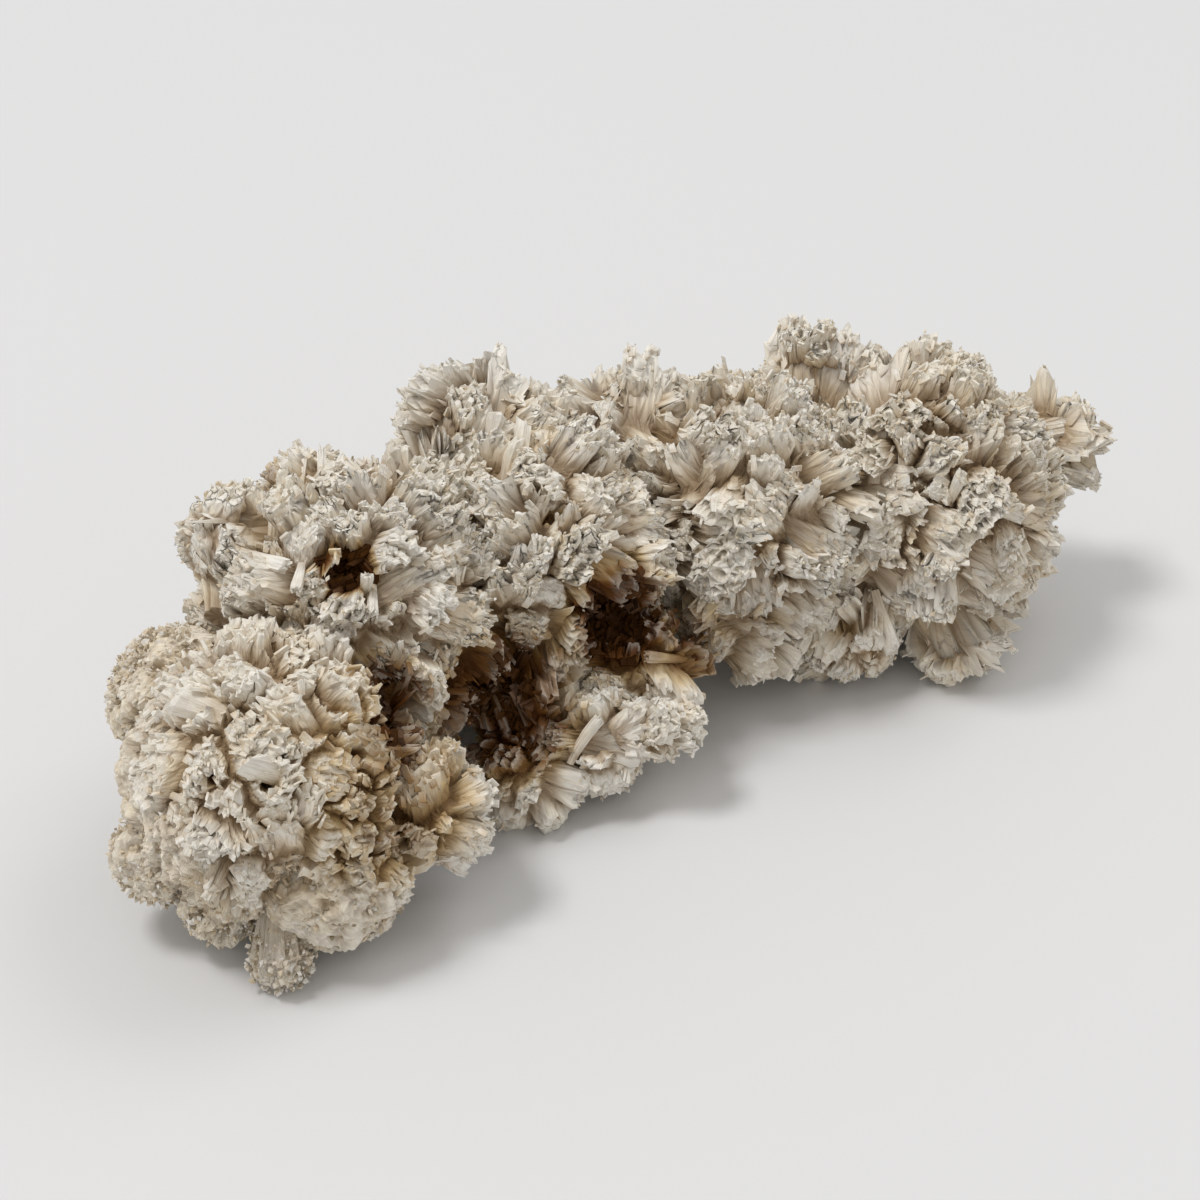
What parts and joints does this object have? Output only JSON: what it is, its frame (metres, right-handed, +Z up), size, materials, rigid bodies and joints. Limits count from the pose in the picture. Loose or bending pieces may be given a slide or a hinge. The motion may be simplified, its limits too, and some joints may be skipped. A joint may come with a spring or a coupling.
{
  "type": "albite cluster",
  "caption": "Long, slightly bent cluster of grown-together pale feldspar crystals, with bladed sprays, open pits and a few flat worn spots underneath to rest on",
  "frame": {"origin": "middle of the specimen's footprint, on the surface that it stands on", "axes": "+Z up, +X along the specimen from its near, rounded end to its far tip, +Y towards its back"},
  "size_m": [0.1081, 0.0497, 0.0353],
  "materials": {
    "albite": "rough"
  },
  "bodies": {
    "root": {"albite_cluster": "albite"}
  },
  "joints": []
}
